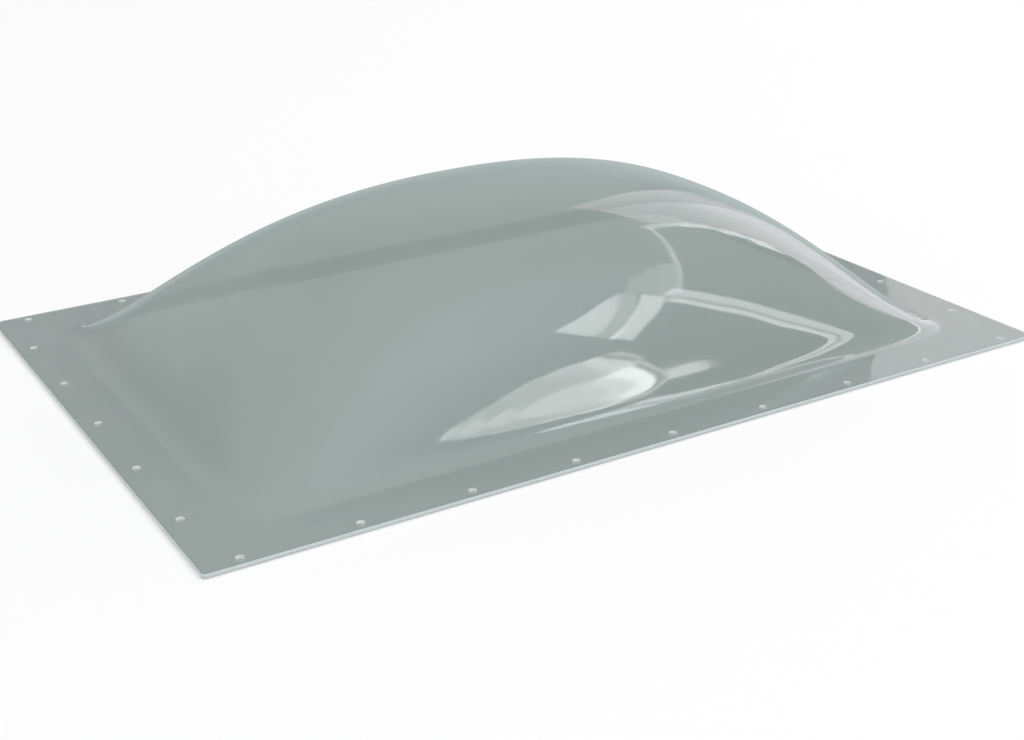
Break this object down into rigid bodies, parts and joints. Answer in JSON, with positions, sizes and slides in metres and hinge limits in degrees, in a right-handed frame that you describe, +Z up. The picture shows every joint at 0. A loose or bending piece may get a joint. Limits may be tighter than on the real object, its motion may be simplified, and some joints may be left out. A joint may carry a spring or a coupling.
{
  "type": "roof skylight dome",
  "caption": "Low rectangular skylight dome blown from one clear tinted plastic sheet, with a flat flange drilled for screws all round.",
  "frame": {"origin": "centre of the flange, on its underside", "axes": "+X along the long edges, +Y along the short edges, +Z up through the crown"},
  "size_m": [0.6604, 0.4572, 0.1225],
  "materials": {
    "clear_sheet": "clear, faintly grey-green, glossy blown sheet"
  },
  "bodies": {
    "root": {"skylight_dome": "clear_sheet"}
  },
  "joints": []
}
